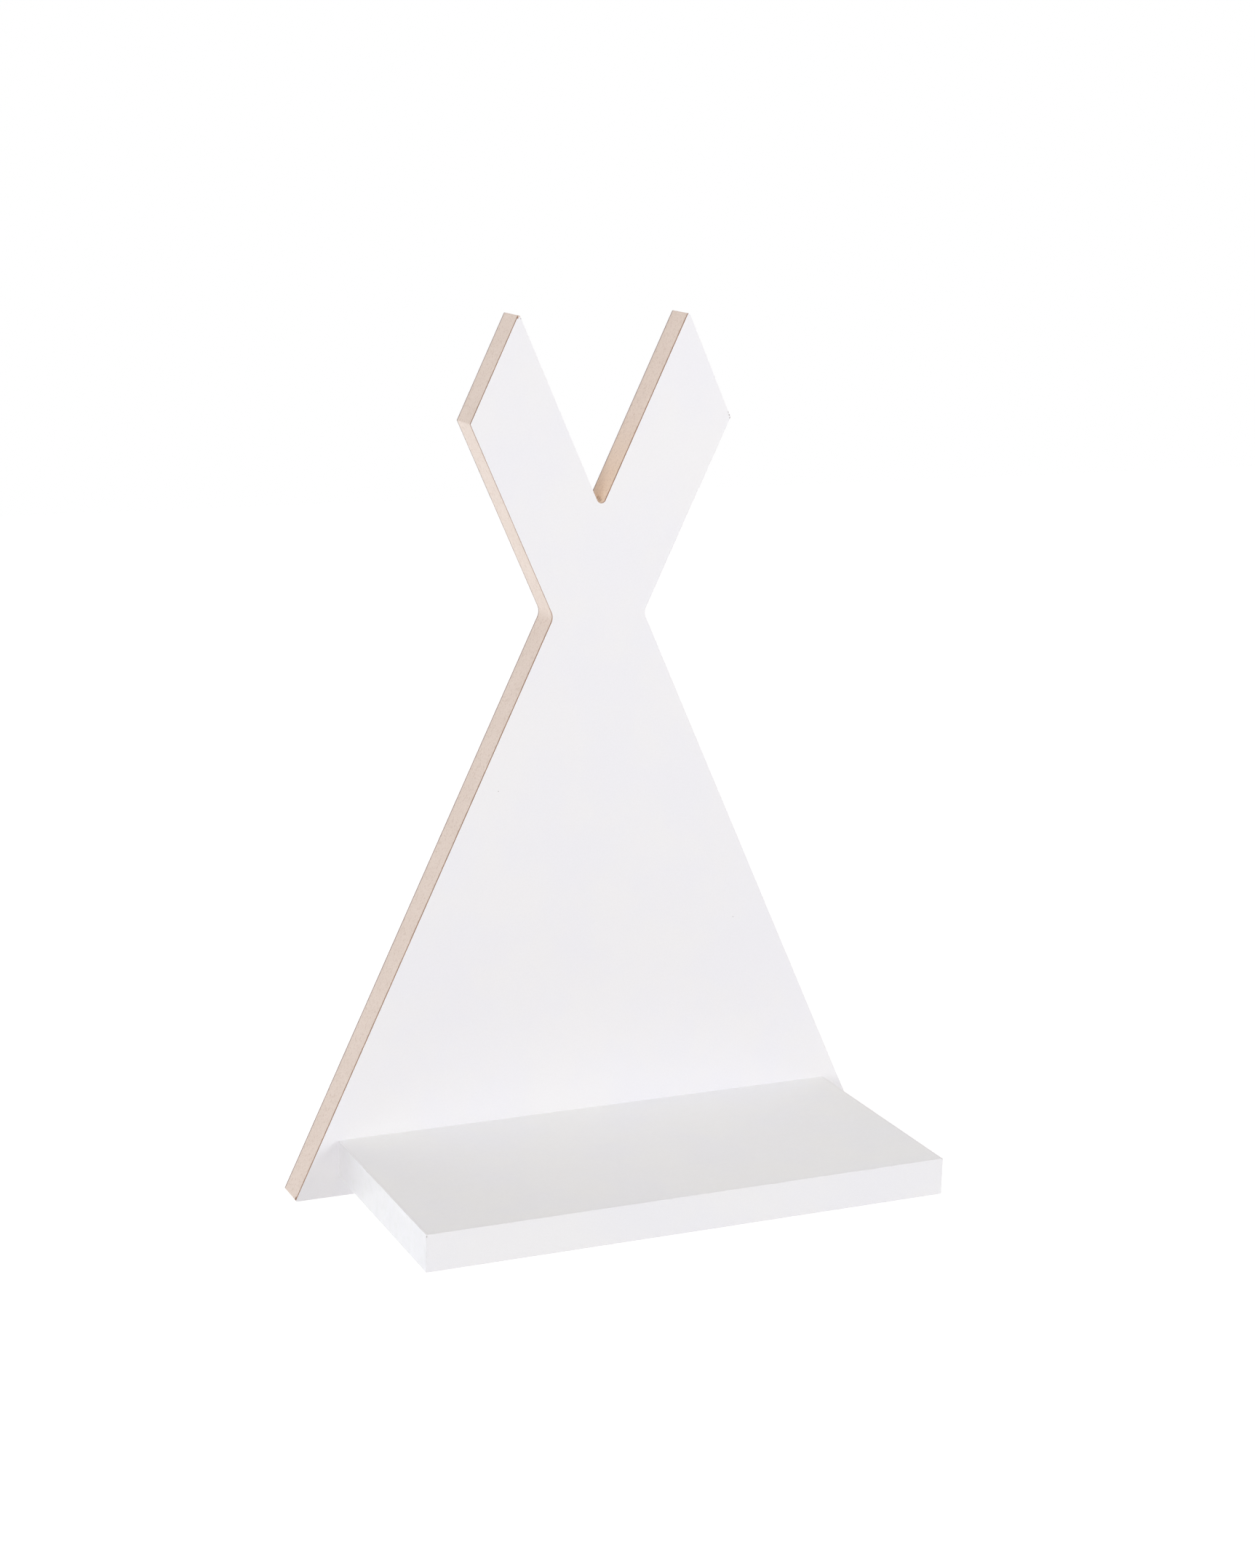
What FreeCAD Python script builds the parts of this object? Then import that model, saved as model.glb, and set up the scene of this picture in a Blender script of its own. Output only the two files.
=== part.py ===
import FreeCAD, Part
import math
import os
import Sketcher

# A tent-shaped wall shelf: a flat back panel with two crossed pole tips, and one shelf board.
# Millimetres, +Z up, the front faces -Y and the wall plane is y = 0.
# The origin lies on the wall plane, midway between the two entry holes for the wall screws.

SIZES = {
    # back panel: a tall triangle whose sides cross and run on as two pole tips
    "base_width": 305.0,
    "crossing_height": 327.5,
    "tip_rise": 92.5,
    "pole_width": 42.4,
    "panel_thickness": 18.0,
    "notch_radius": 2.4,
    "waist_radius": 6.0,
    "corner_ease": 0.6,
    # white facing of both boards
    "facing_thickness": 0.6,
    # shelf board, with the panel's base showing past each end of it
    "panel_overhang": 21.5,
    "shelf_depth": 123.5,
    "shelf_thickness": 18.0,
    "shelf_rise": 10.3,
    "edging_thickness": 1.0,
    "edging_ease": 0.2,
    # dowels between panel and shelf, with the board that is left behind their holes
    "dowel_diameter": 8.0,
    "dowel_length": 30.0,
    "dowel_inset": 30.0,
    "dowel_cover": 6.0,
    "dowel_chamfer": 1.0,
    "flute_radius": 0.5,
    # screws through the panel into the shelf
    "screw_inset": 64.0,
    "screw_length": 50.0,
    "screw_diameter": 7.0,
    "screw_core_diameter": 5.0,
    "screw_head_diameter": 9.6,
    "screw_shank_length": 12.0,
    "screw_tip_length": 3.0,
    "thread_pitch": 3.0,
    "thread_ridge": 1.8,
    "socket_width": 4.0,
    "socket_depth": 4.0,
    # keyhole plates let in flush at the back of the poles
    "hanger_spacing": 64.0,
    "keyhole_entry_diameter": 9.0,
    "keyhole_slot_width": 4.6,
    "keyhole_travel": 8.0,
    "plate_thickness": 1.5,
    "plate_side_margin": 2.5,
    "plate_screw_margin": 5.0,
    "plate_end_margin": 4.0,
    "plate_corner_radius": 3.0,
    "plate_land": 0.4,
    # room in the board, under the plates, for the wall screws' heads, and the board left in front of it
    "head_room": 0.6,
    "pocket_cover": 7.5,
    # small screws that hold the keyhole plates, and the board left in front of their holes
    "hanger_screw_diameter": 3.0,
    "hanger_screw_cover": 5.0,
    "hanger_screw_tip": 3.0,
    "recess_span": 3.0,
    "recess_slot": 0.7,
    "recess_depth": 1.0,
    # clearances
    "hole_clearance": 0.12,
    "recess_clearance": 0.3,
    "tip_gap": 1.0,
}

FLUTES = 12
NEGLIGIBLE = 1e-5

doc = FreeCAD.newDocument("tent_wall_shelf")
sizes = doc.addObject("Spreadsheet::Sheet", "sizes")
for row, (alias, number) in enumerate(SIZES.items(), start=1):
    sizes.set(f"A{row}", alias)
    sizes.set(f"B{row}", str(number))
    sizes.setAlias(f"B{row}", alias)
doc.recompute()

# Derived sizes, as expressions of the sheet's cells.
# The panel's sides lean by this much sideways for each unit up.
LEAN = "(sizes.base_width / 2 / sizes.crossing_height)"
POLE_SPAN = f"(sizes.pole_width * sqrt(1 + {LEAN}^2))"
POLE_DROP = f"({POLE_SPAN} / 2 / {LEAN})"
TIP_HEIGHT = "(sizes.crossing_height + sizes.tip_rise)"
TIP_SIDE = f"({LEAN} * sizes.tip_rise)"
SHELF_WIDTH = "(sizes.base_width - 2 * sizes.panel_overhang)"
JOINT_HEIGHT = "(sizes.shelf_rise + sizes.shelf_thickness / 2)"
DOWEL_SIDE = f"({SHELF_WIDTH} / 2 - sizes.dowel_inset)"
DOWEL_HOLE = "(sizes.dowel_diameter / 2 + sizes.hole_clearance)"
SCREW_SIDE = f"({SHELF_WIDTH} / 2 - sizes.screw_inset)"
SCREW_HOLE = "(sizes.screw_diameter / 2 + sizes.hole_clearance)"
SCREW_SINK = "((sizes.screw_head_diameter - sizes.screw_diameter) / 2)"
# The plates sit on the middle line of each pole, at the height where it is half the spacing out.
PLATE_SIDE = "(sizes.hanger_spacing / 2)"
PLATE_HEIGHT = f"(sizes.crossing_height + ({PLATE_SIDE} - {POLE_SPAN} / 2) / {LEAN})"
ENTRY_HEIGHT = f"({PLATE_HEIGHT} - sizes.keyhole_travel / 2)"
PLATE_SCREW_REACH = "((sizes.keyhole_travel + sizes.keyhole_entry_diameter) / 2 + sizes.plate_screw_margin)"
PLATE_WIDTH = "(sizes.keyhole_entry_diameter + 2 * sizes.plate_side_margin)"
PLATE_LENGTH = f"(2 * ({PLATE_SCREW_REACH} + sizes.plate_end_margin))"
PILOT_DEPTH = "(sizes.panel_thickness - sizes.hanger_screw_cover)"
PILOT_HOLE = "(sizes.hanger_screw_diameter / 2 + sizes.hole_clearance)"
PLATE_SINK = "(sizes.plate_thickness - sizes.plate_land)"
BASE_LEVEL = f"(-{ENTRY_HEIGHT})"
SHELF_LEVEL = f"({BASE_LEVEL} + sizes.shelf_rise)"
JOINT_LEVEL = f"({BASE_LEVEL} + {JOINT_HEIGHT})"


def value(expression):
    """The present number of an expression of the sheet's cells."""
    return float(sizes.evalExpression(expression))


def new_body(label, x="0", y="0", z="0"):
    """A sub-part of its own, placed in the part's frame."""
    body = doc.addObject("PartDesign::Body", label)
    body.Label = label
    for axis, expression in zip("xyz", (x, y, z)):
        body.setExpression(f"Placement.Base.{axis}", expression)
    return body


def origin_feature(body, role):
    """One of a body's own origin planes or axes."""
    return next(feature for feature in body.Origin.OriginFeatures if feature.Role == role)


def new_sketch(body, name, plane, offset="0"):
    """A sketch on one of the body's own origin planes, moved along that plane's normal."""
    sketch = body.newObject("Sketcher::SketchObject", f"{body.Label}_{name}")
    sketch.AttachmentSupport = [(origin_feature(body, plane), "")]
    sketch.MapMode = "FlatFace"
    sketch.setExpression("AttachmentOffset.Base.z", offset)
    return sketch


def dimension(sketch, kind, where, expression):
    """A dimension of the sketch that follows an expression."""
    index = sketch.addConstraint(Sketcher.Constraint(kind, *where, value(expression)))
    sketch.setExpression(f"Constraints[{index}]", expression)


def pin_point(sketch, geometry, end, across, up):
    """Hold a point of the sketch at a place given by two expressions, zero meaning on the axis."""
    for kind, axis, expression in (("DistanceX", -2, across), ("DistanceY", -1, up)):
        if expression == "0":
            sketch.addConstraint(Sketcher.Constraint("PointOnObject", geometry, end, axis))
        else:
            dimension(sketch, kind, (-1, 1, geometry, end), expression)


def draw_outline(sketch, corners):
    """A closed outline of straight lines through corners given as pairs of expressions."""
    points = [FreeCAD.Vector(value(across), value(up), 0) for across, up in corners]
    for start, end in zip(points, points[1:] + points[:1]):
        sketch.addGeometry(Part.LineSegment(start, end))
    for line, (across, up) in enumerate(corners):
        sketch.addConstraint(Sketcher.Constraint("Coincident", line, 2, (line + 1) % len(corners), 1))
        pin_point(sketch, line, 1, across, up)


def draw_circle(sketch, radius, across, up):
    """A circle about a place given by two expressions."""
    centre = FreeCAD.Vector(value(across), value(up), 0)
    circle = sketch.addGeometry(Part.Circle(centre, FreeCAD.Vector(0, 0, 1), value(radius)))
    dimension(sketch, "Radius", (circle,), radius)
    pin_point(sketch, circle, 3, across, up)


def draw_rounded(sketch, centres, radius):
    """A closed outline of lines tangent to arcs of one radius, counter-clockwise."""
    places = [FreeCAD.Vector(value(across), value(up), 0) for across, up in centres]
    turn = 2 * math.pi / len(places)
    arcs = []
    for number, place in enumerate(places):
        circle = Part.Circle(place, FreeCAD.Vector(0, 0, 1), value(radius))
        arcs.append(sketch.addGeometry(Part.ArcOfCircle(circle, number * turn, (number + 1) * turn)))
    for first, second in zip(arcs, arcs[1:] + arcs[:1]):
        side = Part.LineSegment(sketch.getPoint(first, 2), sketch.getPoint(second, 1))
        line = sketch.addGeometry(side)
        sketch.addConstraint(Sketcher.Constraint("Tangent", first, 2, line, 1))
        sketch.addConstraint(Sketcher.Constraint("Tangent", line, 2, second, 1))
    for arc, (across, up) in zip(arcs, centres):
        dimension(sketch, "Radius", (arc,), radius)
        pin_point(sketch, arc, 3, across, up)


def draw_slot(sketch, radius, across, low, high):
    """An upright slot with round ends, between two end centres."""
    draw_rounded(sketch, [(across, high), (across, low)], radius)


def draw_rounded_plate(sketch, width, height, radius, across, up):
    """An upright rectangle with rounded corners, centred on a place."""
    reach_x = f"({width} / 2 - {radius})"
    reach_y = f"({height} / 2 - {radius})"
    signs = ((1, 1), (-1, 1), (-1, -1), (1, -1))
    centres = [(f"{across} + {a} * {reach_x}", f"{up} + {b} * {reach_y}") for a, b in signs]
    draw_rounded(sketch, centres, radius)


def finished(feature):
    """Recompute, and stop if the feature failed or left the body's volume as it was."""
    doc.recompute()
    base = feature.BaseFeature
    if "Invalid" in feature.State or feature.Shape.isNull():
        raise RuntimeError(f"{feature.Name} failed")
    if base is not None and abs(base.Shape.Volume - feature.Shape.Volume) < NEGLIGIBLE:
        raise RuntimeError(f"{feature.Name} changed nothing")
    return feature


def pad(body, sketch, length):
    """Solid from a sketch, along the sketch's normal."""
    feature = body.newObject("PartDesign::Pad", f"{sketch.Name}_pad")
    feature.Profile = sketch
    feature.setExpression("Length", length)
    return finished(feature)


def pocket(body, sketch, depth, with_normal=True):
    """Cut from a sketch, along its normal or against it, to a depth or right through."""
    feature = body.newObject("PartDesign::Pocket", f"{sketch.Name}_pocket")
    feature.Profile = sketch
    feature.Reversed = with_normal
    if depth is None:
        feature.Type = "ThroughAll"
    else:
        feature.setExpression("Length", depth)
    return finished(feature)


def turned(body, sketch):
    """Solid of revolution about the sketch's upright axis."""
    feature = body.newObject("PartDesign::Revolution", f"{sketch.Name}_turned")
    feature.Profile = sketch
    feature.ReferenceAxis = (sketch, ["V_Axis"])
    return finished(feature)


def dress(body, kind, name, base, size_property, size, wanted):
    """A fillet or chamfer on each edge of a feature that the test picks."""
    edges = enumerate(base.Shape.Edges, start=1)
    names = [f"Edge{number}" for number, edge in edges if wanted(edge)]
    feature = body.newObject(f"PartDesign::{kind}", f"{body.Label}_{name}")
    feature.Base = (base, names)
    feature.setExpression(size_property, size)
    return finished(feature)


def mirror_cuts(body, cuts):
    """The same cuts on the other side of the part's middle plane."""
    feature = body.newObject("PartDesign::Mirrored", f"{body.Label}_mirrored")
    feature.Originals = cuts
    feature.MirrorPlane = (origin_feature(body, "YZ_Plane"), [""])
    body.Tip = feature
    return finished(feature)


def tent_corners():
    """The panel's outline as straight corners: base, waist, outer pole corner, tip and crossing."""
    right = [
        ("sizes.base_width / 2", "0"),
        (f"{POLE_SPAN} / 2", f"sizes.crossing_height - {POLE_DROP}"),
        (f"{TIP_SIDE} + {POLE_SPAN} / 2", f"{TIP_HEIGHT} - {POLE_DROP}"),
        (TIP_SIDE, TIP_HEIGHT),
    ]
    left = [(f"-({across})", up) for across, up in reversed(right)]
    return right + [("0", "sizes.crossing_height")] + left


def front_to_back_at(places):
    """Test for a straight edge along Y that passes through one of these places of the outline."""

    def wanted(edge):
        ends = [vertex.Point for vertex in edge.Vertexes]
        if len(ends) != 2 or math.hypot(ends[0].x - ends[1].x, ends[0].z - ends[1].z) > NEGLIGIBLE:
            return False
        return any(math.hypot(ends[0].x - x, ends[0].z - z) < NEGLIGIBLE for x, z in places)

    return wanted


def tent_layer(label, behind, thickness):
    """One layer of the panel: its outline padded forward, with routed inner and eased outer corners."""
    body = new_body(label, z=BASE_LEVEL)
    sketch = new_sketch(body, "outline", "XZ_Plane", behind)
    corners = tent_corners()
    draw_outline(sketch, corners)
    layer = pad(body, sketch, thickness)
    # the corners run from the base's right corner round to its left one
    base, waist, pole, tip, crossing, *left = [(value(across), value(up)) for across, up in corners]
    left_tip, left_pole, left_waist, left_base = left
    rounds = (
        ("notch", "sizes.notch_radius", [crossing]),
        ("waists", "sizes.waist_radius", [waist, left_waist]),
        ("eased", "sizes.corner_ease", [base, pole, tip, left_tip, left_pole, left_base]),
    )
    for name, radius, places in rounds:
        layer = dress(body, "Fillet", name, layer, "Radius", radius, front_to_back_at(places))
    return body


def recess_cut(body):
    """Opening of the right keyhole plate's seat."""
    sketch = new_sketch(body, "recess", "XZ_Plane")
    draw_rounded_plate(
        sketch,
        f"({PLATE_WIDTH} + 2 * sizes.recess_clearance)",
        f"({PLATE_LENGTH} + 2 * sizes.recess_clearance)",
        "(sizes.plate_corner_radius + sizes.recess_clearance)",
        PLATE_SIDE,
        PLATE_HEIGHT,
    )
    return pocket(body, sketch, "sizes.plate_thickness")


def hole_cut(body, name, radius, across, heights, depth, offset="0", with_normal=True):
    """Round holes of one radius and depth, one above another."""
    sketch = new_sketch(body, name, "XZ_Plane", offset)
    for up in heights:
        draw_circle(sketch, radius, across, up)
    return pocket(body, sketch, depth, with_normal)


def circle_at(level, radius):
    """Test for a whole circle of one radius that lies on the plane y = level."""

    def wanted(edge):
        curve = edge.Curve
        if not isinstance(curve, Part.Circle) or not edge.isClosed():
            return False
        return abs(curve.Center.y - level) < NEGLIGIBLE and abs(curve.Radius - radius) < NEGLIGIBLE

    return wanted


def make_back_panel():
    """Fibreboard core with raw edges, bored for the dowels and screws and routed for the hangers."""
    core = "(sizes.panel_thickness - 2 * sizes.facing_thickness)"
    body = tent_layer("back_panel", "sizes.facing_thickness", core)
    recess = recess_cut(body)
    sketch = new_sketch(body, "head_pocket", "XZ_Plane")
    draw_slot(
        sketch,
        "(sizes.keyhole_entry_diameter / 2 + sizes.head_room)",
        PLATE_SIDE,
        ENTRY_HEIGHT,
        f"({ENTRY_HEIGHT} + sizes.keyhole_travel)",
    )
    head_pocket = pocket(body, sketch, "sizes.panel_thickness - sizes.pocket_cover")
    pilot_heights = [f"({PLATE_HEIGHT} {sign} {PLATE_SCREW_REACH})" for sign in "+-"]
    pilots = hole_cut(body, "pilots", PILOT_HOLE, PLATE_SIDE, pilot_heights, PILOT_DEPTH)
    screw = hole_cut(body, "screw_hole", SCREW_HOLE, SCREW_SIDE, [JOINT_HEIGHT], None)
    dowel_depth = "sizes.panel_thickness - sizes.dowel_cover"
    dowel = hole_cut(
        body,
        "dowel_hole",
        DOWEL_HOLE,
        DOWEL_SIDE,
        [JOINT_HEIGHT],
        dowel_depth,
        "sizes.panel_thickness",
        False,
    )
    both_sides = mirror_cuts(body, [recess, head_pocket, pilots, screw, dowel])
    rear_rims = circle_at(-value("sizes.facing_thickness"), value(SCREW_HOLE))
    dress(body, "Chamfer", "sunk", both_sides, "Size", SCREW_SINK, rear_rims)
    return body


def make_front_facing():
    """White facing on the panel's front, pierced where the dowels and screws pass."""
    behind = "sizes.panel_thickness - sizes.facing_thickness"
    body = tent_layer("front_facing", behind, "sizes.facing_thickness")
    dowel = hole_cut(body, "dowel_hole", DOWEL_HOLE, DOWEL_SIDE, [JOINT_HEIGHT], None)
    screw = hole_cut(body, "screw_hole", SCREW_HOLE, SCREW_SIDE, [JOINT_HEIGHT], None)
    mirror_cuts(body, [dowel, screw])
    return body


def make_rear_facing():
    """White facing on the panel's back, cut away round the plates and the screw heads."""
    body = tent_layer("rear_facing", "0", "sizes.facing_thickness")
    recess = recess_cut(body)
    head_hole = f"({SCREW_HOLE} + {SCREW_SINK})"
    screw = hole_cut(body, "screw_hole", head_hole, SCREW_SIDE, [JOINT_HEIGHT], None)
    mirror_cuts(body, [recess, screw])
    return body


def shelf_layer(label, behind, thickness, near, far, left, right):
    """One level layer or strip of the shelf, measured from the panel's front and the shelf's underside."""
    body = new_body(label, y="-sizes.panel_thickness", z=SHELF_LEVEL)
    sketch = new_sketch(body, "outline", "XY_Plane", behind)
    draw_outline(sketch, [(left, far), (right, far), (right, near), (left, near)])
    return body, pad(body, sketch, thickness)


def core_layer(label, behind, thickness):
    """A layer of the shelf inside its edge strips."""
    reach = f"({SHELF_WIDTH} / 2 - sizes.edging_thickness)"
    far = "(sizes.edging_thickness - sizes.shelf_depth)"
    body, _ = shelf_layer(label, behind, thickness, "0", far, f"-{reach}", reach)
    return body


def make_shelf_board():
    """Fibreboard core of the shelf, bored from behind for the dowels and screws."""
    core = "sizes.shelf_thickness - 2 * sizes.facing_thickness"
    body = core_layer("shelf_board", "sizes.facing_thickness", core)
    middle = ["sizes.shelf_thickness / 2"]
    dowel_depth = "sizes.dowel_length - sizes.panel_thickness + sizes.dowel_cover + 2 * sizes.tip_gap"
    screw_depth = "sizes.screw_length + sizes.facing_thickness - sizes.panel_thickness + sizes.tip_gap"
    dowel = hole_cut(body, "dowel_hole", DOWEL_HOLE, DOWEL_SIDE, middle, dowel_depth)
    screw = hole_cut(body, "screw_hole", SCREW_HOLE, SCREW_SIDE, middle, screw_depth)
    mirror_cuts(body, [dowel, screw])
    return body


def make_shelf_facings():
    """White facings on the shelf's top and underside."""
    top = "sizes.shelf_thickness - sizes.facing_thickness"
    return [
        core_layer("shelf_top_facing", top, "sizes.facing_thickness"),
        core_layer("shelf_underside_facing", "0", "sizes.facing_thickness"),
    ]


def make_front_edging():
    """Edge strip along the shelf's front, over its full width, with eased outer edges."""
    reach = f"({SHELF_WIDTH} / 2)"
    near = "(sizes.edging_thickness - sizes.shelf_depth)"
    far = "(-sizes.shelf_depth)"
    body, strip = shelf_layer(
        "shelf_front_edging", "0", "sizes.shelf_thickness", near, far, f"-{reach}", reach
    )
    front = -value("sizes.shelf_depth")

    def on_front(edge):
        return all(abs(vertex.Y - front) < NEGLIGIBLE for vertex in edge.Vertexes)

    dress(body, "Fillet", "eased", strip, "Radius", "sizes.edging_ease", on_front)
    return body


def make_end_edging(label, side):
    """Edge strip on one end of the shelf, behind the front strip, with eased outer edges."""
    outer = f"({side} * {SHELF_WIDTH} / 2)"
    inner = f"({outer} - {side} * sizes.edging_thickness)"
    left, right = (inner, outer) if side > 0 else (outer, inner)
    far = "(sizes.edging_thickness - sizes.shelf_depth)"
    body, strip = shelf_layer(label, "0", "sizes.shelf_thickness", "0", far, left, right)
    end = value(outer)

    def along_outer(edge):
        ends = [vertex.Point for vertex in edge.Vertexes]
        lengthwise = abs(ends[0].z - ends[1].z) < NEGLIGIBLE
        return lengthwise and all(abs(point.x - end) < NEGLIGIBLE for point in ends)

    dress(body, "Fillet", "eased", strip, "Radius", "sizes.edging_ease", along_outer)
    return body


def make_dowel(label, side):
    """Fluted wooden dowel with chamfered ends, one end in the panel and the other in the shelf."""
    body = new_body(
        label, f"{side} * {DOWEL_SIDE}", "-sizes.dowel_cover - sizes.tip_gap", JOINT_LEVEL
    )
    sketch = new_sketch(body, "section", "XZ_Plane")
    draw_circle(sketch, "sizes.dowel_diameter / 2", "0", "0")
    rod = pad(body, sketch, "sizes.dowel_length")

    def is_rim(edge):
        return isinstance(edge.Curve, Part.Circle)

    dress(body, "Chamfer", "chamfered", rod, "Size", "sizes.dowel_chamfer", is_rim)
    sketch = new_sketch(body, "flute", "XZ_Plane")
    draw_circle(sketch, "sizes.flute_radius", "sizes.dowel_diameter / 2", "0")
    flute = pocket(body, sketch, None)
    flutes = body.newObject("PartDesign::PolarPattern", f"{label}_flutes")
    flutes.Originals = [flute]
    flutes.Axis = (origin_feature(body, "Y_Axis"), [""])
    flutes.Occurrences = FLUTES
    body.Tip = flutes
    finished(flutes)
    return body


def make_shelf_screw(label, side):
    """Board screw with a countersunk head, a hexagon socket, a plain shank and a ridged thread."""
    body = new_body(label, f"{side} * {SCREW_SIDE}", "-sizes.facing_thickness", JOINT_LEVEL)
    shank = "sizes.screw_diameter / 2"
    core = "sizes.screw_core_diameter / 2"
    sketch = new_sketch(body, "profile", "XY_Plane")
    draw_outline(
        sketch,
        [
            ("0", "0"),
            ("0", "-sizes.screw_length"),
            (core, "sizes.screw_tip_length - sizes.screw_length"),
            (core, "-sizes.screw_shank_length"),
            (shank, "-sizes.screw_shank_length"),
            (shank, f"-{SCREW_SINK}"),
            ("sizes.screw_head_diameter / 2", "0"),
        ],
    )
    turned(body, sketch)
    sketch = new_sketch(body, "ridge", "XY_Plane")
    first = "(-sizes.screw_shank_length - sizes.thread_pitch + sizes.thread_ridge)"
    draw_outline(
        sketch,
        [
            ("0", first),
            ("0", f"{first} - sizes.thread_ridge"),
            (core, f"{first} - sizes.thread_ridge"),
            (shank, f"{first} - sizes.thread_ridge / 2"),
            (core, first),
        ],
    )
    ridge = turned(body, sketch)
    thread = "(sizes.screw_length - sizes.screw_shank_length - sizes.screw_tip_length)"
    ridges = body.newObject("PartDesign::LinearPattern", f"{label}_ridges")
    ridges.Originals = [ridge]
    ridges.Direction = (origin_feature(body, "Y_Axis"), [""])
    ridges.Reversed = True
    ridges.Mode = "Spacing"
    ridges.setExpression("Offset", "sizes.thread_pitch")
    ridges.Occurrences = int(value(f"{thread} / sizes.thread_pitch"))
    body.Tip = ridges
    finished(ridges)
    sketch = new_sketch(body, "socket", "XZ_Plane")
    point = "sizes.socket_width / sqrt(3)"
    flat = "sizes.socket_width / 2"
    upper = [(f"{point} / 2", flat), (f"-{point} / 2", flat)]
    lower = [(f"-{point} / 2", f"-{flat}"), (f"{point} / 2", f"-{flat}")]
    draw_outline(sketch, [(point, "0"), *upper, (f"-{point}", "0"), *lower])
    pocket(body, sketch, "sizes.socket_depth")
    return body


def make_hanger_plate(label, side):
    """Steel keyhole plate: an entry hole with a slot above it, and two countersunk screw holes."""
    body = new_body(label, f"{side} * {PLATE_SIDE}", "0", "sizes.keyhole_travel / 2")
    sketch = new_sketch(body, "outline", "XZ_Plane")
    draw_rounded_plate(sketch, PLATE_WIDTH, PLATE_LENGTH, "sizes.plate_corner_radius", "0", "0")
    pad(body, sketch, "sizes.plate_thickness")
    reach = "sizes.keyhole_travel / 2"
    hole_cut(body, "entry", "sizes.keyhole_entry_diameter / 2", "0", [f"-{reach}"], None)
    sketch = new_sketch(body, "slot", "XZ_Plane")
    draw_slot(sketch, "sizes.keyhole_slot_width / 2", "0", f"-{reach}", reach)
    pocket(body, sketch, None)
    heights = [PLATE_SCREW_REACH, f"-{PLATE_SCREW_REACH}"]
    holes = hole_cut(body, "screw_holes", PILOT_HOLE, "0", heights, None)
    dress(body, "Chamfer", "sunk", holes, "Size", PLATE_SINK, circle_at(0, value(PILOT_HOLE)))
    return body


def make_hanger_screw(label, side, sign):
    """Small countersunk screw with a pointed end and a cross recess."""
    level = f"sizes.keyhole_travel / 2 + {sign} * {PLATE_SCREW_REACH}"
    body = new_body(label, f"{side} * {PLATE_SIDE}", "0", level)
    shank = "sizes.hanger_screw_diameter / 2"
    length = f"({PILOT_DEPTH} - sizes.tip_gap)"
    sketch = new_sketch(body, "profile", "XY_Plane")
    draw_outline(
        sketch,
        [
            ("0", "0"),
            ("0", f"-{length}"),
            (shank, f"sizes.hanger_screw_tip - {length}"),
            (shank, f"-{PLATE_SINK}"),
            (f"{shank} + {PLATE_SINK}", "0"),
        ],
    )
    turned(body, sketch)
    sketch = new_sketch(body, "recess", "XZ_Plane")
    arm = "sizes.recess_span / 2"
    slot = "sizes.recess_slot / 2"
    quarter = [(arm, slot), (slot, slot), (slot, arm)]
    turns = [
        quarter,
        [(f"-{y}", x) for x, y in quarter],
        [(f"-{x}", f"-{y}") for x, y in quarter],
        [(y, f"-{x}") for x, y in quarter],
    ]
    draw_outline(sketch, [corner for turn in turns for corner in turn])
    pocket(body, sketch, "sizes.recess_depth")
    return body


def make_hanger_screws(label, side):
    """The two screws of one keyhole plate, kept together as a group of separate solids."""
    group = doc.addObject("Part::Compound", label)
    group.Label = label
    group.Links = [
        make_hanger_screw(f"{label}_upper", side, 1),
        make_hanger_screw(f"{label}_lower", side, -1),
    ]
    return group


pieces = [
    make_back_panel(),
    make_front_facing(),
    make_rear_facing(),
    make_shelf_board(),
    *make_shelf_facings(),
    make_front_edging(),
]
for name, side in (("left", -1), ("right", 1)):
    pieces += [
        make_end_edging(f"shelf_{name}_edging", side),
        make_dowel(f"{name}_dowel", side),
        make_shelf_screw(f"{name}_shelf_screw", side),
        make_hanger_plate(f"{name}_hanger_plate", side),
        make_hanger_screws(f"{name}_hanger_screws", side),
    ]
doc.recompute()

for item in doc.Objects:
    if "Invalid" in item.State or "Error" in item.State:
        raise RuntimeError(f"{item.Name} is in state {item.State}")
for piece in pieces:
    if piece.Shape.isNull() or not piece.Shape.isValid():
        raise RuntimeError(f"{piece.Label} has no valid shape")

os.makedirs("parts", exist_ok=True)
for piece in pieces:
    piece.Shape.exportStep(f"parts/{piece.Label}.step")
    print(piece.Label, len(piece.Shape.Solids), round(piece.Shape.Volume, 2))
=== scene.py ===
import bpy
from mathutils import Matrix, Vector


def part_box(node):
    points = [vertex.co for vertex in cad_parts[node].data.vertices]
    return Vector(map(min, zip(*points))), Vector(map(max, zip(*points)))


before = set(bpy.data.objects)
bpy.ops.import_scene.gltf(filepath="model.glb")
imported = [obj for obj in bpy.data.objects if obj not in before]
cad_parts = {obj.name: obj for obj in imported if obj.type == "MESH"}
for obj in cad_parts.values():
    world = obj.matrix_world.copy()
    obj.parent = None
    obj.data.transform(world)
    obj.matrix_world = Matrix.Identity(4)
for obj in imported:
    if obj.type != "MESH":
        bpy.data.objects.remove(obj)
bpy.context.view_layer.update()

MM = 0.001

# The photograph's height and the camera that was solved for it. Its focal length is in pixels, its place in
# metres, and its two directions are those of the part's own frame.
IMAGE_HEIGHT = 2156
FOCAL_PIXELS = 3949.5
EYE = Vector((-0.53908, -1.25547, 0.18496))
LOOK = Vector((0.397878, 0.885717, -0.239163))
RIGHT = Vector((0.914177, -0.404716, 0.022023))
SENSOR = 36.0
# The nearest and the furthest that it sees, in metres.
NEAREST = 0.01
FURTHEST = 40.0

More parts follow.
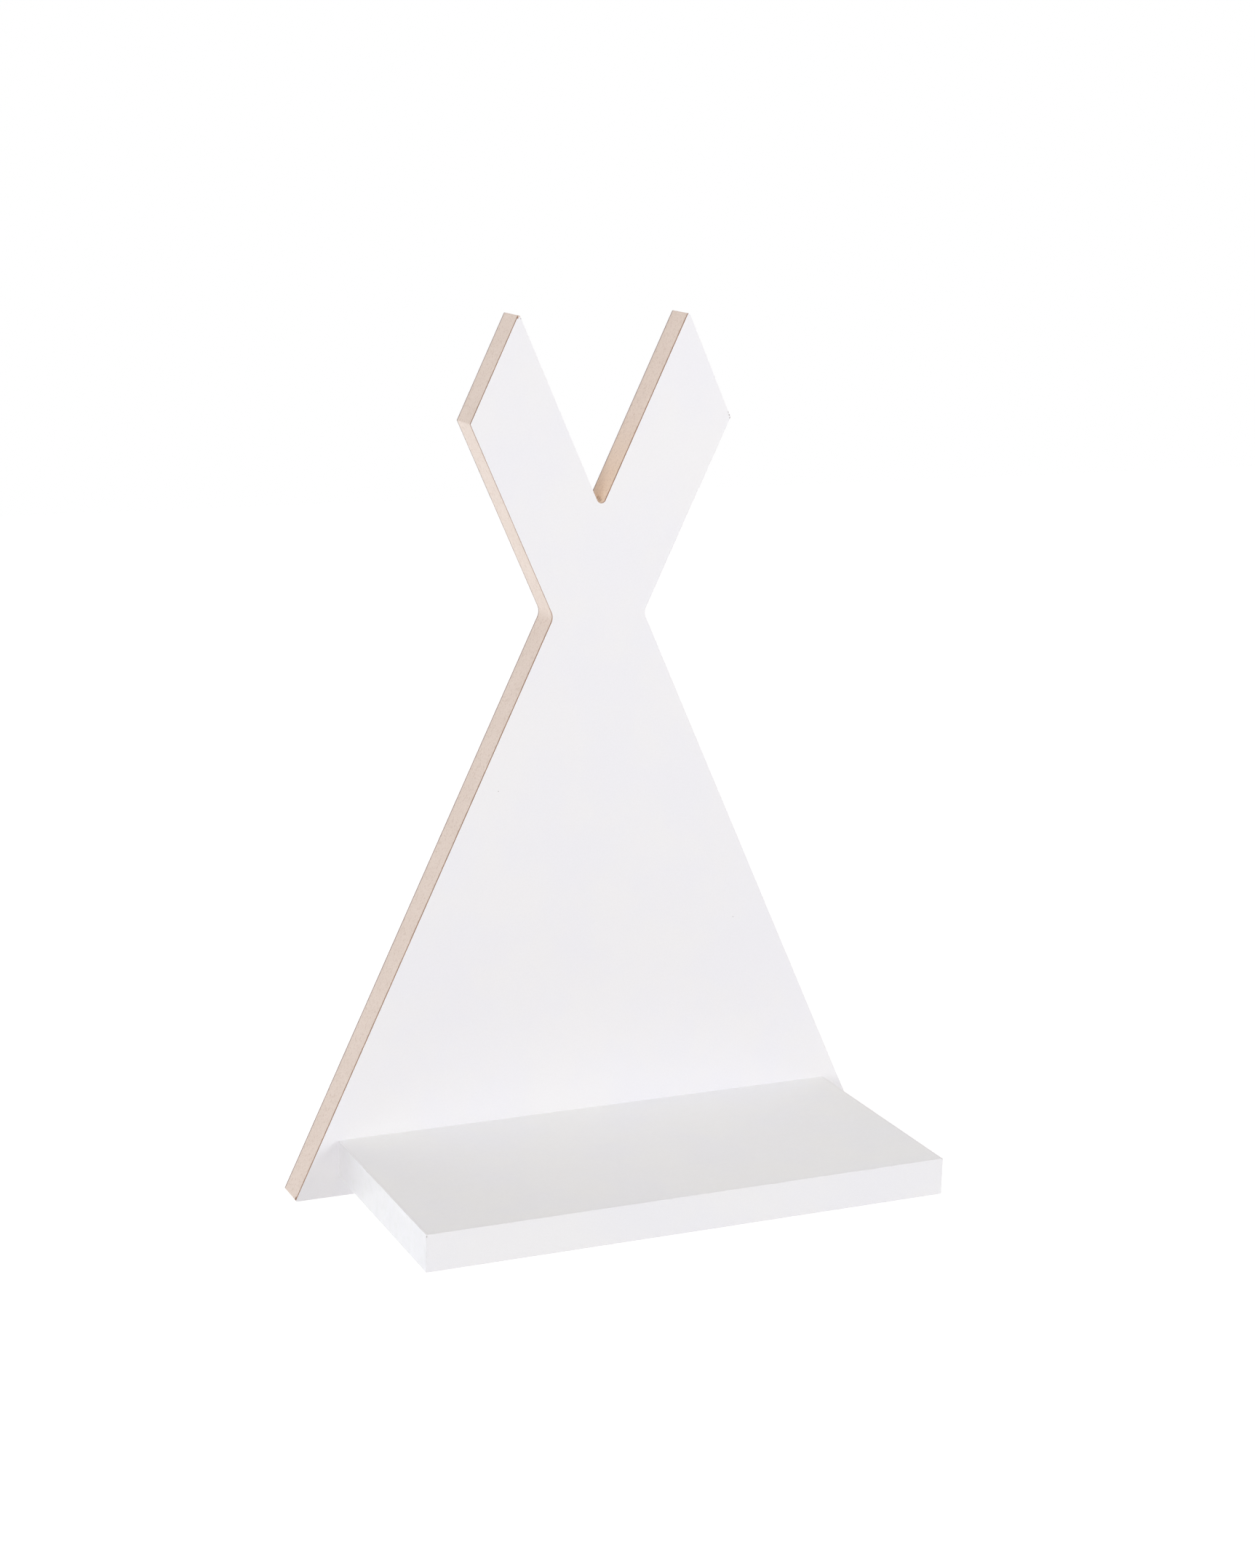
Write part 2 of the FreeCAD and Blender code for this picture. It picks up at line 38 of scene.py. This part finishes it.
# Colours of the boards, in linear light. Each white is a pair: its plain tone and its warmer clouds.
PANEL_WHITES = ((0.867, 0.852, 0.874), (0.880, 0.862, 0.866))
SHELF_WHITES = ((0.860, 0.858, 0.870), (0.872, 0.868, 0.862))
STRIP_WHITES = ((0.854, 0.843, 0.863), (0.866, 0.853, 0.856))
CUT_BROWN = (0.285, 0.138, 0.064)
CUT_GREY = (0.28, 0.215, 0.20)
FIBRE = (0.882, 0.752, 0.665)
FIBRE_DARK = (0.656, 0.508, 0.418)
FIBRE_LIGHT = (0.910, 0.780, 0.693)
FIBRE_TAN = (0.890, 0.736, 0.608)
NOTCH_PALE = (0.945, 0.800, 0.665)
# Dark brown for the dark tip of the left foot, and for painted shade in the notch.
TIP_AND_SHADE_BROWN = (0.30, 0.165, 0.09)
MARK = (0.36, 0.32, 0.31)
SPECK = (0.52, 0.49, 0.48)
RUBBED = (0.72, 0.70, 0.69)
SMUDGE = (0.79, 0.79, 0.775)
HAIRLINE = (0.46, 0.43, 0.41)

# Colours of the fasteners.
ZINC_GREYS = ((0.40, 0.41, 0.43), (0.54, 0.54, 0.53))
ZINC_DULL = (0.33, 0.33, 0.34)
# Painted shade for the hollows of the fasteners.
RECESS_SHADE_TONE = (0.08, 0.075, 0.07)
BEECH_BROWNS = ((0.62, 0.42, 0.25), (0.74, 0.55, 0.37))
BEECH_FLECK = (0.36, 0.2, 0.1)

# A noise has soft, plain or rich detail, whose finer part is even or broken.
# Most of its values lie in MIDDLE.
SOFT = 2.0
PLAIN = 3.0
RICH = 4.0
EVEN = 0.55
BROKEN = 0.65
MIDDLE = (0.3, 0.7)

# The numbered sockets of a mix of colours: its share and the two colours, and the colour that comes out.
MIX_INPUTS = (0, 6, 7)
MIX_OUTPUT = 2


class Shader:
    """One material's node tree, with short calls that add nodes and link them."""

    def __init__(self, name):
        self.material = bpy.data.materials.new(name)
        self.material.use_nodes = True
        self.tree = self.material.node_tree
        self.tree.nodes.clear()
        self.output = self.tree.nodes.new("ShaderNodeOutputMaterial")
        self.coords = self.tree.nodes.new("ShaderNodeTexCoord")

    def node(self, kind, settings=None, **inputs):
        """A node with its settings, and its inputs by socket name: a value, or a socket to link."""
        made = self.tree.nodes.new(kind)
        for key, setting in (settings or {}).items():
            setattr(made, key, setting)
        for key, given in inputs.items():
            self.give(made, key.replace("_", " "), given)
        return made

    def give(self, node, key, given):
        """Set or link one input, by its name or number."""
        socket = node.inputs[key]
        if isinstance(given, bpy.types.NodeSocket):
            self.tree.links.new(given, socket)
        else:
            socket.default_value = given

    def math(self, operation, first, second=0.0):
        """What one operation makes of one or two numbers."""
        made = self.tree.nodes.new("ShaderNodeMath")
        made.operation = operation
        self.give(made, 0, first)
        self.give(made, 1, second)
        return made.outputs[0]

    def place(self):
        """The point in the part's frame, in metres."""
        return self.coords.outputs["Object"]

    def axis(self, name):
        """One coordinate of the point in the part's frame, in metres."""
        return self.node("ShaderNodeSeparateXYZ", Vector=self.place()).outputs[name]

    def facing(self, name):
        """One part of the surface's own direction."""
        return self.node("ShaderNodeSeparateXYZ", Vector=self.coords.outputs["Normal"]).outputs[name]

    def noise(self, size, detail=PLAIN, roughness=EVEN, place=None):
        """Smooth noise whose features are about `size` metres across, from 0 to 1."""
        if place is None:
            place = self.place()
        made = self.node("ShaderNodeTexNoise", Vector=place, Detail=detail, Roughness=roughness)
        made.inputs["Scale"].default_value = 1.0 / size
        return made.outputs["Fac"]

    def streaks(self, per_metre, detail=SOFT):
        """Noise drawn out one way, with so many features per metre along each axis."""
        scaled = self.node("ShaderNodeMapping", Vector=self.place())
        scaled.inputs["Scale"].default_value = per_metre
        return self.noise(1.0, detail, place=scaled.outputs["Vector"])

    def ramp(self, given, low, high, start=0.0, end=1.0):
        """The value taken smoothly from the span low..high to the span start..end."""
        made = self.node("ShaderNodeMapRange", {"interpolation_type": "SMOOTHSTEP"}, Value=given)
        for key, number in (("From Min", low), ("From Max", high), ("To Min", start), ("To Max", end)):
            made.inputs[key].default_value = number
        return made.outputs["Result"]

    def mix(self, share, first, second, blend="MIX"):
        """One colour laid over another by a share from 0 to 1."""
        made = self.tree.nodes.new("ShaderNodeMix")
        made.data_type = "RGBA"
        made.blend_type = blend
        for number, given in zip(MIX_INPUTS, (share, first, second)):
            if isinstance(given, tuple):
                given = (*given, 1.0)
            self.give(made, number, given)
        return made.outputs[MIX_OUTPUT]

    def near(self, point, radius, soft):
        """1 within radius metres of a point, falling to 0 over the soft distance."""
        away = self.node("ShaderNodeVectorMath", {"operation": "DISTANCE"})
        self.give(away, 0, self.place())
        away.inputs[1].default_value = point
        return self.ramp(away.outputs["Value"], radius, radius + soft, 1.0, 0.0)

    def bump(self, height, depth, strength=1.0, over=None):
        """Fine relief of about `depth` metres."""
        made = self.node("ShaderNodeBump", Height=height, Strength=strength, Distance=depth)
        if over is not None:
            self.give(made, "Normal", over)
        return made.outputs["Normal"]

    def surface(self, colour, rough, normal, **plain):
        """The finished surface, with its plain values set on the shader itself."""
        made = self.node("ShaderNodeBsdfPrincipled", Base_Color=colour, Roughness=rough, Normal=normal)
        for key, given in plain.items():
            made.inputs[key.replace("_", " ")].default_value = given
        self.tree.links.new(made.outputs["BSDF"], self.output.inputs["Surface"])
        return self.material


# White sheets and strips: sizes of their clouds, of the patches in their gloss and of their peel.
WHITE_CLOUD = 38 * MM
CLOUD_SPAN = (0.35, 0.65)
WHITE_PATCH = 6 * MM
WHITE_ROUGH = (0.40, 0.50)
WHITE_IOR = 1.46
SHEET_PEEL = 0.9 * MM
STRIP_PEEL = 0.7 * MM
PEEL_SHADE = 0.985
# Depths of their relief.
SHEET_RELIEF = 0.004 * MM
STRIP_RELIEF = 0.003 * MM
ROLLING_RELIEF = 0.006 * MM
# A hairline is full up to the first distance from a border and gone at the second, and so is a rubbed arris.
HAIRLINE_REACH = (0.03 * MM, 0.08 * MM)
HAIRLINE_SHARE = 0.5
RUBBED_REACH = (0.1 * MM, 0.35 * MM)
# A mark is full over this share of its radius, and fades from there.
MARK_CORE_SHARE = 0.4


def white_face(shader, whites, peel=SHEET_PEEL):
    """Colour, roughness and relief of a satin white sheet.

    Faint clouds of a warmer white lie over a fine even peel.
    """
    cloud = shader.noise(WHITE_CLOUD, RICH)
    fine = shader.noise(peel, SOFT)
    colour = shader.mix(shader.ramp(cloud, *CLOUD_SPAN), *whites)
    grain = shader.ramp(fine, *MIDDLE, PEEL_SHADE, 1.0)
    grey = shader.node("ShaderNodeCombineColor", Red=grain, Green=grain, Blue=grain).outputs[0]
    colour = shader.mix(1.0, colour, grey, "MULTIPLY")
    rough = shader.ramp(shader.noise(WHITE_PATCH), *MIDDLE, *WHITE_ROUGH)
    return colour, rough, fine


def marked(shader, colour, marks):
    """The colour with small dark places on it, each a point, a radius and a colour."""
    for point, radius, mark in marks:
        colour = shader.mix(shader.near(point, MARK_CORE_SHARE * radius, radius), colour, mark)
    return colour


# The cut sides of a white sheet: the size of their clouds and how much lighter those are.
# The surface goes from side to flat face as the y part of its direction goes through the span.
CUT_CLOUD = 5 * MM
CUT_LIFT = 1.5
SIDE_TO_FLAT = (0.5, 0.9)


def laminate(name, cut_colour, marks=()):
    """White sheet whose cut sides show its darker core, with small marks on it."""
    shader = Shader(name)
    colour, rough, fine = white_face(shader, PANEL_WHITES)
    colour = marked(shader, colour, marks)
    flat = shader.math("ABSOLUTE", shader.facing("Y"))
    side = shader.ramp(flat, *SIDE_TO_FLAT, 1.0, 0.0)
    uneven = shader.ramp(shader.noise(CUT_CLOUD), *MIDDLE)
    cut = shader.mix(uneven, cut_colour, tuple(CUT_LIFT * part for part in cut_colour))
    colour = shader.mix(side, colour, cut)
    return shader.surface(colour, rough, shader.bump(fine, SHEET_RELIEF), IOR=WHITE_IOR)


def shelf_white(name, low, high):
    """The same kind of sheet on the shelf, with a hairline around it where it meets the edge strips."""
    full, gone = HAIRLINE_REACH
    shader = Shader(name)
    colour, rough, fine = white_face(shader, SHELF_WHITES)
    ends = shader.ramp(shader.math("ABSOLUTE", shader.axis("X")), high.x - gone, high.x - full)
    front = shader.ramp(shader.axis("Y"), low.y + full, low.y + gone, 1.0, 0.0)
    border = shader.math("MAXIMUM", ends, front)
    colour = shader.mix(shader.math("MULTIPLY", border, HAIRLINE_SHARE), colour, HAIRLINE)
    return shader.surface(colour, rough, shader.bump(fine, SHEET_RELIEF), IOR=WHITE_IOR)


# The strips on the shelf's edges: smudges, rubbed patches, the nick's place below the top, and rolling marks.
SMUDGE_SIZE = 4 * MM
SMUDGE_SPAN = (0.45, 0.7)
SMUDGE_SHARE = 0.5
PATCH_SIZE = 5 * MM
PATCH_SPAN = (0.5, 0.65)
PATCH_SHARE = 0.5
NICK_DROP = 0.8 * MM
NICK_RADIUS = 0.5 * MM
ROLLING = (12.0, 12.0, 900.0)


def rubbed_arrises(shader, low, high):
    """1 along the outer arrises of the shelf's strips, from the box of the front one."""
    full, gone = RUBBED_REACH
    middle = 0.5 * (low.z + high.z)
    half = 0.5 * (high.z - low.z)
    level = shader.math("ABSOLUTE", shader.math("SUBTRACT", shader.axis("Z"), middle))
    end = shader.ramp(shader.math("ABSOLUTE", shader.axis("X")), high.x - gone, high.x - full)
    front = shader.ramp(shader.axis("Y"), low.y + full, low.y + gone, 1.0, 0.0)
    rim = shader.ramp(level, half - gone, half - full)
    along = shader.math("MULTIPLY", rim, shader.math("MAXIMUM", end, front))
    return shader.math("MAXIMUM", along, shader.math("MULTIPLY", end, front))


def edge_strip(name, low, high):
    """White strip on the shelf's edges, from the box of the front one.

    Faint rolling marks along it, smudges on the two ends, arrises rubbed here and there with a nick at one
    corner, and a hairline where two strips meet.
    """
    shader = Shader(name)
    colour, rough, fine = white_face(shader, STRIP_WHITES, STRIP_PEEL)
    smudge = shader.ramp(shader.noise(SMUDGE_SIZE, RICH, BROKEN), *SMUDGE_SPAN, 0.0, SMUDGE_SHARE)
    sideways = shader.math("ABSOLUTE", shader.facing("X"))
    colour = shader.mix(shader.math("MULTIPLY", smudge, sideways), colour, SMUDGE)
    patches = shader.ramp(shader.noise(PATCH_SIZE), *PATCH_SPAN, 0.0, PATCH_SHARE)
    rubbed = shader.math("MULTIPLY", rubbed_arrises(shader, low, high), patches)
    colour = shader.mix(rubbed, colour, RUBBED)
    nick = (-high.x, low.y, high.z - NICK_DROP)
    colour = marked(shader, colour, [(nick, NICK_RADIUS, SPECK)])
    joint = shader.math("ABSOLUTE", shader.math("SUBTRACT", shader.axis("Y"), high.y))
    colour = shader.mix(shader.ramp(joint, *HAIRLINE_REACH, HAIRLINE_SHARE, 0.0), colour, HAIRLINE)
    relief = shader.bump(shader.streaks(ROLLING), ROLLING_RELIEF, over=shader.bump(fine, STRIP_RELIEF))
    return shader.surface(colour, rough, relief, IOR=WHITE_IOR)


# Raw fibreboard: its felted fibres, its speckles and its clouds.
FELT_SIZE = 0.8 * MM
FELT_SPAN = (0.45, 0.75)
FELT_SHARE = 0.45
FELT_RELIEF = 0.04 * MM
FELT_STRENGTH = 0.6
SPECKLE_SIZE = 1.6 * MM
SPECKLE_SPAN = (0.52, 0.72)
SPECKLE_SHARE = 0.35
FIBRE_CLOUD = 12 * MM
FIBRE_ROUGH = (0.80, 0.94)
FIBRE_IOR = 1.40
FUZZ_SHARE = 0.25
FUZZ_ROUGH = 0.4
# The bottom of the notch between the poles, and a streak of painted shade in it. Around each point the tone
# is full within the first distance and fades over the second.
NOTCH = (0.0, -9.0 * MM, -11.2 * MM)
TAN_REACH = (12 * MM, 42 * MM)
PALE_REACH = (4 * MM, 9 * MM)
NOTCH_SHADE_POINTS = (
    (2.2 * MM, -8.5 * MM, -9.8 * MM),
    (1.95 * MM, -10.8 * MM, -10.2 * MM),
    (1.6 * MM, -13.0 * MM, -10.6 * MM),
)
NOTCH_SHADE_REACH = (0.1 * MM, 1.5 * MM)
NOTCH_SHADE_SHARE = 0.5
# The glue lines: full up to the first depth under a facing and gone at the second, and how far they wander.
GLUE_REACH = (0.25 * MM, 0.7 * MM)
FRONT_GLUE_SHARE = 0.85
REAR_GLUE_SHARE = 0.4
WANDER = 0.12 * MM
WANDER_SIZE = 3 * MM
# The dark tip of the left foot, from the front lower corner of the board.
TIP_DEPTH = 0.4 * MM
TIP_RISE = 1.2 * MM
TIP_RADIUS = 1.2 * MM


def fibreboard(name, low, high):
    """Raw cut fibreboard between two white facings, from the box of the panel.

    Fine felted fibres and soft clouds, a thin dark glue line under each facing, and the narrow notch between
    the poles, which turns tan and paler towards its bottom, with a streak of painted shade there. One foot
    has a dark tip.
    """
    shader = Shader(name)
    felt = shader.noise(FELT_SIZE, RICH, BROKEN)
    speckle = shader.noise(SPECKLE_SIZE, SOFT)
    colour = shader.mix(shader.ramp(shader.noise(FIBRE_CLOUD), *MIDDLE), FIBRE, FIBRE_LIGHT)
    # Tan towards the notch, and paler still close to its bottom.
    colour = shader.mix(shader.near(NOTCH, *TAN_REACH), colour, FIBRE_TAN)
    colour = shader.mix(shader.near(NOTCH, *PALE_REACH), colour, NOTCH_PALE)
    colour = shader.mix(shader.ramp(felt, *FELT_SPAN, 0.0, FELT_SHARE), colour, FIBRE_DARK)
    colour = shader.mix(shader.ramp(speckle, *SPECKLE_SPAN, 0.0, SPECKLE_SHARE), colour, FIBRE_DARK)
    # Painted shade: a dark streak laid along the shaded bottom of the notch.
    for point in NOTCH_SHADE_POINTS:
        streak_shade = shader.near(point, *NOTCH_SHADE_REACH)
        colour = shader.mix(shader.math("MULTIPLY", streak_shade, NOTCH_SHADE_SHARE), colour, TIP_AND_SHADE_BROWN)
    wander = shader.ramp(shader.noise(WANDER_SIZE, SOFT), *MIDDLE, -WANDER, WANDER)
    depth = shader.math("ADD", shader.axis("Y"), wander)
    full, gone = GLUE_REACH
    lines = ((low.y, 1, FRONT_GLUE_SHARE, CUT_BROWN), (high.y, -1, REAR_GLUE_SHARE, CUT_GREY))
    for plane, inward, share, line in lines:
        glue = shader.ramp(depth, plane + inward * full, plane + inward * gone, share, 0.0)
        colour = shader.mix(glue, colour, line)
    tip = (low.x, low.y + TIP_DEPTH, low.z + TIP_RISE)
    colour = marked(shader, colour, [(tip, TIP_RADIUS, TIP_AND_SHADE_BROWN)])
    rough = shader.ramp(felt, *MIDDLE, *FIBRE_ROUGH)
    relief = shader.bump(felt, FELT_RELIEF, FELT_STRENGTH)
    fuzz = {"Sheen_Weight": FUZZ_SHARE, "Sheen_Roughness": FUZZ_ROUGH}
    return shader.surface(colour, rough, relief, IOR=FIBRE_IOR, **fuzz)


# Zinc: its crystal bloom, its dull marks, its drawn lines, and the depths where painted shade begins and is
# full.
BLOOM_SIZE = 1.6 * MM
BLOOM_RELIEF = 0.006 * MM
DULL_SIZE = 4.5 * MM
DULL_SPAN = (0.5, 0.75)
DULL_SHARE = 0.45
DRAWN = (4000.0, 4000.0, 120.0)
DRAWN_RELIEF = 0.004 * MM
SHADE_DEPTHS = (0.1 * MM, 0.9 * MM)
DEEP_SHADE_SHARE = 0.85
ZINC_ROUGH = (0.28, 0.46)
PLATE_TONE = 1.0
SMALL_SCREW_TONE = 1.3
LONG_SCREW_TONE = 0.85


def zinc(name, rear, tone):
    """Zinc metal at the back of the panel, whose core ends at the plane y rear.

    A soft crystal bloom, fine drawn lines, dull handling marks in its gloss, and painted shade: a dark tone
    on what lies deeper than that plane.
    """
    shader = Shader(name)
    bloom = shader.noise(BLOOM_SIZE, RICH)
    dull = shader.noise(DULL_SIZE)
    drawn = shader.streaks(DRAWN)
    dark, light = (tuple(tone * part for part in grey) for grey in ZINC_GREYS)
    colour = shader.mix(shader.ramp(bloom, *MIDDLE), dark, light)
    colour = shader.mix(shader.ramp(dull, *DULL_SPAN, 0.0, DULL_SHARE), colour, ZINC_DULL)
    # Painted shade: all that lies deeper than the rear plane, in the holes and recesses of the plates and
    # screws, is darkened.
    begins, full = SHADE_DEPTHS
    sunk = shader.ramp(shader.axis("Y"), rear - full, rear - begins, DEEP_SHADE_SHARE, 0.0)
    colour = shader.mix(sunk, colour, RECESS_SHADE_TONE)
    rough = shader.ramp(dull, *MIDDLE, *ZINC_ROUGH)
    relief = shader.bump(drawn, DRAWN_RELIEF, over=shader.bump(bloom, BLOOM_RELIEF))
    return shader.surface(colour, rough, relief, Metallic=1.0)


# Beech, with its grain along the dowel.
GRAIN = (2600.0, 180.0, 2600.0)
GRAIN_RELIEF = 0.03 * MM
FLECKS = (3000.0, 700.0, 3000.0)
FLECK_SPAN = (0.66, 0.74)
FLECK_SHARE = 0.6
BEECH_ROUGH = (0.6, 0.75)
BEECH_IOR = 1.45


def beech(name):
    """Unfinished beech: pale straight grain along the dowel with short dark flecks."""
    shader = Shader(name)
    grain = shader.streaks(GRAIN, RICH)
    fleck = shader.streaks(FLECKS)
    colour = shader.mix(shader.ramp(grain, *MIDDLE), *BEECH_BROWNS)
    colour = shader.mix(shader.ramp(fleck, *FLECK_SPAN, 0.0, FLECK_SHARE), colour, BEECH_FLECK)
    rough = shader.ramp(grain, *MIDDLE, *BEECH_ROUGH)
    return shader.surface(colour, rough, shader.bump(grain, GRAIN_RELIEF), IOR=BEECH_IOR)


# Small marks on the white front, in millimetres across and up, with their radius and colour: two specks, the
# worn tip of the left pole, the tip of the right one, and three nicks at its outer corner.
FRONT_MARKS = (
    (-50.55, -147.48, 0.25, SPECK),
    (76.31, -222.37, 0.25, SPECK),
    (-43.1, 77.4, 1.0, FIBRE_DARK),
    (-43.8, 76.2, 0.45, CUT_BROWN),
    (-42.1, 75.8, 0.35, MARK),
    (43.0, 77.6, 0.4, FIBRE_DARK),
    (65.5, 30.3, 0.5, MARK),
    (65.9, 28.9, 0.5, MARK),
    (66.3, 27.4, 0.5, MARK),
)
# The thickness of the facing that they are on.
FACING = 0.6 * MM

# The finish of each node, by the ending of its name.
WEARS = {
    "front_facing": "front",
    "rear_facing": "rear",
    "top_facing": "shelf",
    "underside_facing": "shelf",
    "edging": "edging",
    "back_panel": "board",
    "shelf_board": "board",
    "hanger_plate": "plate",
    "hanger_screws": "small_screw",
    "shelf_screw": "long_screw",
    "dowel": "beech",
}


def dress_nodes():
    """Give every node of the part its finish."""
    panel_low, panel_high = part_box("back_panel")
    front = panel_low.y - FACING
    marks = [((x * MM, front, z * MM), radius * MM, colour) for x, z, radius, colour in FRONT_MARKS]
    finishes = {
        "front": laminate("front_laminate", CUT_BROWN, marks),
        "rear": laminate("rear_laminate", CUT_GREY),
        "shelf": shelf_white("shelf_laminate", *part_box("shelf_top_facing")),
        "edging": edge_strip("shelf_edge_strip", *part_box("shelf_front_edging")),
        "board": fibreboard("raw_fibreboard", panel_low, panel_high),
        "plate": zinc("zinc_plate", panel_high.y, PLATE_TONE),
        "small_screw": zinc("bright_zinc_screw", panel_high.y, SMALL_SCREW_TONE),
        "long_screw": zinc("dull_zinc_screw", panel_high.y, LONG_SCREW_TONE),
        "beech": beech("raw_beech"),
    }
    for node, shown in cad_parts.items():
        worn = next(finish for ending, finish in WEARS.items() if node.endswith(ending))
        shown.data.materials.clear()
        shown.data.materials.append(finishes[worn])


def seen_rays(tree):
    """1 for the rays that show the stage itself: from the camera, in a reflection or through glass."""
    path = tree.nodes.new("ShaderNodeLightPath")
    seen = path.outputs["Is Camera Ray"]
    for kind in ("Is Glossy Ray", "Is Transmission Ray"):
        either = tree.nodes.new("ShaderNodeMath")
        either.operation = "MAXIMUM"
        tree.links.new(seen, either.inputs[0])
        tree.links.new(path.outputs[kind], either.inputs[1])
        seen = either.outputs[0]
    return seen


# The floor, in metres.
FLOOR_LEVEL = -1.40
FLOOR_REACH = 9.0
FLOOR_CLOUD = 0.4
FLOOR_GREYS = ((0.93, 0.93, 0.93), (0.95, 0.95, 0.95))
FLOOR_GLOW = 0.6


def floor_material():
    """Pale matt floor that takes shadows, lifted to white where it is seen."""
    shader = Shader("pale_floor")
    cloud = shader.noise(FLOOR_CLOUD, SOFT)
    colour = shader.mix(shader.ramp(cloud, *MIDDLE), *FLOOR_GREYS)
    matt = shader.node("ShaderNodeBsdfDiffuse", Color=colour)
    lift = shader.math("MULTIPLY", seen_rays(shader.tree), FLOOR_GLOW)
    glow = shader.node("ShaderNodeEmission", Strength=lift)
    both = shader.tree.nodes.new("ShaderNodeAddShader")
    shader.tree.links.new(matt.outputs[0], both.inputs[0])
    shader.tree.links.new(glow.outputs[0], both.inputs[1])
    shader.tree.links.new(both.outputs[0], shader.output.inputs["Surface"])
    return shader.material


def make_floor():
    """A wide level floor well below the part."""
    corners = [(-1, -1), (1, -1), (1, 1), (-1, 1)]
    points = [(x * FLOOR_REACH, y * FLOOR_REACH, FLOOR_LEVEL) for x, y in corners]
    mesh = bpy.data.meshes.new("floor")
    mesh.from_pydata(points, [], [(0, 1, 2, 3)])
    mesh.materials.append(floor_material())
    floor = bpy.data.objects.new("floor", mesh)
    bpy.context.scene.collection.objects.link(floor)


# The soft boxes face CENTRE. Each has a place in metres, a power in watts and a tint.
CENTRE = (0.0, -0.05, -0.14)
BOX_SIZE = 1.2
NEUTRAL = (1.0, 1.0, 1.0)
COOL = (0.955, 1.01, 1.05)
COLD = (0.89, 1.01, 1.11)
WARM = (1.07, 1.0, 0.86)
BOXES = {
    "left": ((-2.1, -0.5, -0.05), 2.1, NEUTRAL),
    "left_front": ((-1.6, -1.6, 0.15), 14.1, COOL),
    "right_front": ((1.6, -1.6, 0.35), 11.4, COOL),
    "right_high": ((1.7, -1.2, 1.0), 12.3, COOL),
    "top": ((0.0, -0.1, 2.1), 2.4, WARM),
    "back": ((0.0, 2.2, 0.1), 7.2, NEUTRAL),
    "back_low": ((-0.35, 0.8, -0.85), 3.6, COLD),
    "left_low": ((-1.0, 0.9, -1.0), 1.7, COLD),
}
# The colour of the light from all round.
AIR = (0.525, 0.500, 0.490)


def softbox(name, place, power, tint):
    """A square soft lamp that faces the part."""
    lamp = bpy.data.lights.new(name, "AREA")
    lamp.shape = "SQUARE"
    lamp.size = BOX_SIZE
    lamp.energy = power
    lamp.color = tint
    shown = bpy.data.objects.new(name, lamp)
    shown.location = place
    shown.rotation_euler = (Vector(CENTRE) - Vector(place)).to_track_quat("-Z", "Y").to_euler()
    shown.visible_camera = False
    bpy.context.scene.collection.objects.link(shown)
    return shown


def light_part():
    """The soft boxes. The back one lights the rear without flashing in the metal plates there."""
    for name, (place, power, tint) in BOXES.items():
        lamp = softbox(f"{name}_box", place, power, tint)
        lamp.visible_glossy = name != "back"


def make_world():
    """Even light from all round, seen as plain white."""
    world = bpy.data.worlds.new("studio")
    bpy.context.scene.world = world
    world.use_nodes = True
    tree = world.node_tree
    tree.nodes.clear()
    choice = tree.nodes.new("ShaderNodeMixShader")
    tree.links.new(seen_rays(tree), choice.inputs["Fac"])
    for number, colour in ((1, AIR), (2, NEUTRAL)):
        sky = tree.nodes.new("ShaderNodeBackground")
        sky.inputs["Color"].default_value = (*colour, 1.0)
        tree.links.new(sky.outputs[0], choice.inputs[number])
    output = tree.nodes.new("ShaderNodeOutputWorld")
    tree.links.new(choice.outputs[0], output.inputs["Surface"])


def make_camera():
    """The photograph's camera."""
    data = bpy.data.cameras.new("camera")
    data.sensor_width = SENSOR
    data.lens = FOCAL_PIXELS * SENSOR / IMAGE_HEIGHT
    data.clip_start = NEAREST
    data.clip_end = FURTHEST
    camera = bpy.data.objects.new("camera", data)
    back = -LOOK.normalized()
    up = back.cross(RIGHT.normalized()).normalized()
    across = up.cross(back)
    turn = Matrix((across, up, back)).transposed()
    camera.matrix_world = Matrix.Translation(EYE) @ turn.to_4x4()
    bpy.context.scene.collection.objects.link(camera)
    bpy.context.scene.camera = camera


dress_nodes()
make_floor()
light_part()
make_world()
bpy.context.scene.view_settings.view_transform = "Standard"
make_camera()

bpy.context.view_layer.update()
